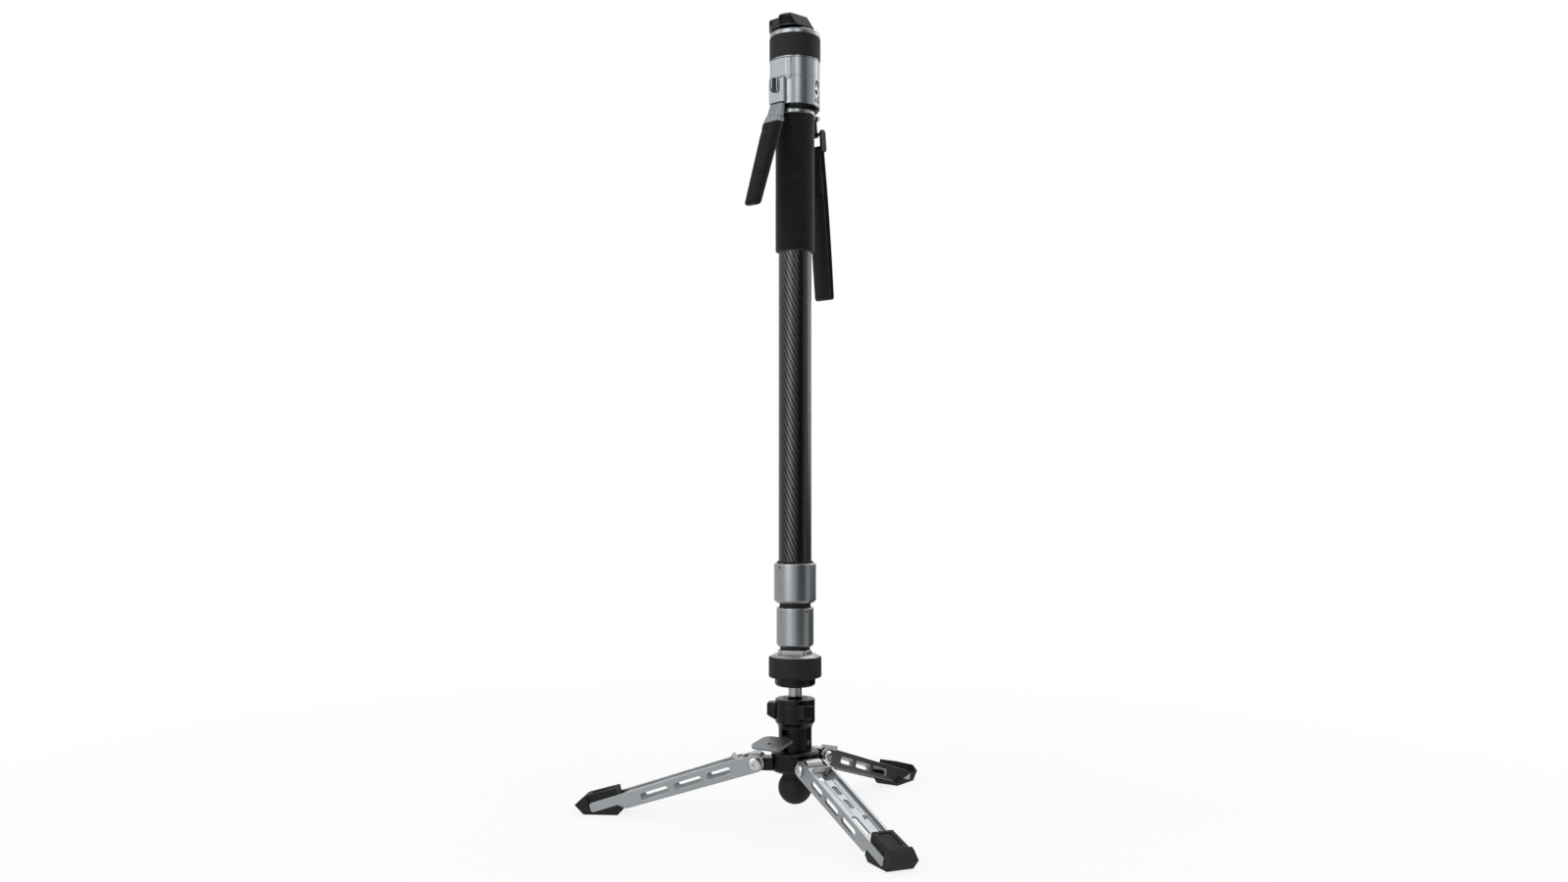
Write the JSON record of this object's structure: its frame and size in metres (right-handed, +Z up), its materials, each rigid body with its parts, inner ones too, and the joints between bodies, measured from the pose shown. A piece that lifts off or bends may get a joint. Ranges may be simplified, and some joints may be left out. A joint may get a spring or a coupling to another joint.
{
  "type": "camera monopod",
  "caption": "Telescoping camera monopod with a squeeze-lever release, quick-lock head, tilting ball base and folding feet that let it stand by itself.",
  "frame": {"origin": "on the column's axis at the floor that the soles stand on", "axes": "+Z up along the column; +X to the viewer's right and -Y towards the viewer"},
  "size_m": [0.3317, 0.383, 0.7753],
  "materials": {
    "black_alloy": "satin black anodised aluminium",
    "grey_alloy": "satin grey anodised aluminium",
    "cast_grey": "grey lacquered steel plate",
    "steel": "bright turned steel",
    "rubber": "matte black moulded rubber",
    "foam": "grained black grip foam",
    "carbon": "satin twill carbon tube",
    "nylon": "dark moulded nylon",
    "webbing": "black woven webbing"
  },
  "bodies": {
    "base": {"leg_hub": "black_alloy", "base_column": "black_alloy", "ball_housing": "black_alloy", "ball_cap": "black_alloy", "ball_foot": "rubber", "hinge_bolts": "steel", "hinge_cams": "steel", "pedal_pin": "steel", "pedal_spring": "steel"},
    "pedal": {"pedal": "cast_grey"},
    "plunger": {"lock_plunger": "nylon"},
    "pan_cup": {"ball_cup": "nylon"},
    "ball": {"ball_stem": "steel"},
    "lower": {"base_flange": "black_alloy", "base_plug": "steel", "lower_tube": "carbon", "lower_clutch": "nylon"},
    "base_ring": {"base_ring_core": "steel", "base_ring_grip": "rubber"},
    "mid": {"mid_tube": "carbon", "upper_clutch": "nylon", "rod_sleeve": "steel", "lower_collar": "grey_alloy", "lower_bushing": "nylon", "lower_seal": "rubber", "lower_collar_screw": "black_alloy"},
    "upper": {"main_tube": "carbon", "upper_collar": "grey_alloy", "upper_bushing": "nylon", "upper_seals": "rubber", "upper_collar_screw": "black_alloy", "grip_sleeve": "foam", "grip_ferrule": "grey_alloy", "head_flange": "black_alloy", "head_body": "grey_alloy", "head_cap": "grey_alloy", "accessory_insert": "steel", "qr_crown": "black_alloy", "lever_pin": "steel", "lever_spring": "steel", "strap_pin": "steel"},
    "qr_ring": {"qr_ring_core": "steel", "qr_ring_grip": "rubber"},
    "qr_collar": {"qr_collar": "grey_alloy"},
    "lever": {"lever_arm": "grey_alloy", "lever_sleeve": "foam"},
    "lever_lock": {"lever_lock_knob": "grey_alloy"},
    "rod": {"release_rod": "steel"},
    "strap": {"strap_link": "black_alloy", "strap_buckle": "nylon", "strap_webbing": "webbing"},
    "leg_1": {"leg_1_channel": "grey_alloy", "leg_1_foot": "rubber"},
    "latch_1": {"leg_1_latch": "steel"},
    "leg_2": {"leg_2_channel": "grey_alloy", "leg_2_foot": "rubber"},
    "latch_2": {"leg_2_latch": "steel"},
    "leg_3": {"leg_3_channel": "grey_alloy", "leg_3_foot": "rubber"},
    "latch_3": {"leg_3_latch": "steel"}
  },
  "joints": [
    {"name": "leg_1_fold", "type": "hinge", "parent": "base", "child": "leg_1", "pos_m": [-0.0375, 0, 0.052], "axis": [0, -1, 0], "range_deg": [-105, 0]},
    {"name": "latch_1_press", "type": "hinge", "parent": "leg_1", "child": "latch_1", "pos_m": [-0.0375, 0, 0.052], "axis": [0, -1, 0], "range_deg": [0, 10], "stiffness_Nm_per_rad": 0.3, "springref_deg": -5.73},
    {"name": "leg_2_fold", "type": "hinge", "parent": "base", "child": "leg_2", "pos_m": [0.01875, -0.03248, 0.052], "axis": [0.866, 0.5, 0], "range_deg": [-105, 0]},
    {"name": "latch_2_press", "type": "hinge", "parent": "leg_2", "child": "latch_2", "pos_m": [0.01875, -0.03248, 0.052], "axis": [0.866, 0.5, 0], "range_deg": [0, 10], "stiffness_Nm_per_rad": 0.3, "springref_deg": -5.73},
    {"name": "leg_3_fold", "type": "hinge", "parent": "base", "child": "leg_3", "pos_m": [0.01875, 0.03248, 0.052], "axis": [-0.866, 0.5, 0], "range_deg": [-105, 0]},
    {"name": "latch_3_press", "type": "hinge", "parent": "leg_3", "child": "latch_3", "pos_m": [0.01875, 0.03248, 0.052], "axis": [-0.866, 0.5, 0], "range_deg": [0, 10], "stiffness_Nm_per_rad": 0.3, "springref_deg": -5.73},
    {"name": "pedal_press", "type": "hinge", "parent": "base", "child": "pedal", "pos_m": [0, 0, 0.0725], "axis": [0.866, -0.5, 0], "range_deg": [0, 12], "stiffness_Nm_per_rad": 0.6, "springref_deg": -8.59},
    {"name": "plunger_lift", "type": "slide", "parent": "base", "child": "plunger", "axis": [0, 0, 1], "range_m": [0, 0.00171]},
    {"name": "base_pan", "type": "hinge", "parent": "base", "child": "pan_cup", "pos_m": [0, 0, 0.103], "axis": [0, 0, 1], "continuous": true},
    {"name": "ball_tilt", "type": "hinge", "parent": "pan_cup", "child": "ball", "pos_m": [0, 0, 0.103], "axis": [0, 1, 0], "range_deg": [0, 20]},
    {"name": "monopod_pan", "type": "hinge", "parent": "ball", "child": "lower", "pos_m": [0, 0, 0.1255], "axis": [0, 0, 1], "continuous": true},
    {"name": "base_ring_turn", "type": "hinge", "parent": "lower", "child": "base_ring", "pos_m": [0, 0, 0.144], "axis": [0, 0, 1], "range_deg": [0, 40]},
    {"name": "lower_extend", "type": "slide", "parent": "lower", "child": "mid", "axis": [0, 0, 1], "range_m": [0, 0.38]},
    {"name": "upper_extend", "type": "slide", "parent": "mid", "child": "upper", "axis": [0, 0, 1], "range_m": [0, 0.38]},
    {"name": "qr_ring_turn", "type": "hinge", "parent": "upper", "child": "qr_ring", "pos_m": [0, 0, 0.744], "axis": [0, 0, 1], "range_deg": [0, 40]},
    {"name": "qr_collar_rise", "type": "slide", "parent": "upper", "child": "qr_collar", "axis": [0, 0, 1], "range_m": [0, 0.0014]},
    {"name": "lever_squeeze", "type": "hinge", "parent": "upper", "child": "lever", "pos_m": [-0.01414, -0.01877, 0.693], "axis": [0.7986, -0.6018, 0], "range_deg": [0, 10], "stiffness_Nm_per_rad": 3, "springref_deg": -6.88},
    {"name": "rod_lift", "type": "slide", "parent": "upper", "child": "rod", "axis": [0, 0, 1], "range_m": [0, 0.00405]},
    {"name": "lever_lock_turn", "type": "hinge", "parent": "upper", "child": "lever_lock", "pos_m": [-0.01757, -0.02332, 0.7045], "axis": [-0.6018, -0.7986, 0], "range_deg": [0, 90]},
    {"name": "strap_swing", "type": "hinge", "parent": "upper", "child": "strap", "pos_m": [0.01565, 0.02076, 0.6815], "axis": [-0.7986, 0.6018, 0], "range_deg": [-75, 0]}
  ],
  "couplings": [
    {"joint": "plunger_lift", "follows": "pedal_press", "m_per_rad": 0.008073},
    {"joint": "qr_collar_rise", "follows": "qr_ring_turn", "m_per_rad": 0.002},
    {"joint": "rod_lift", "follows": "lever_squeeze", "m_per_rad": 0.023}
  ]
}
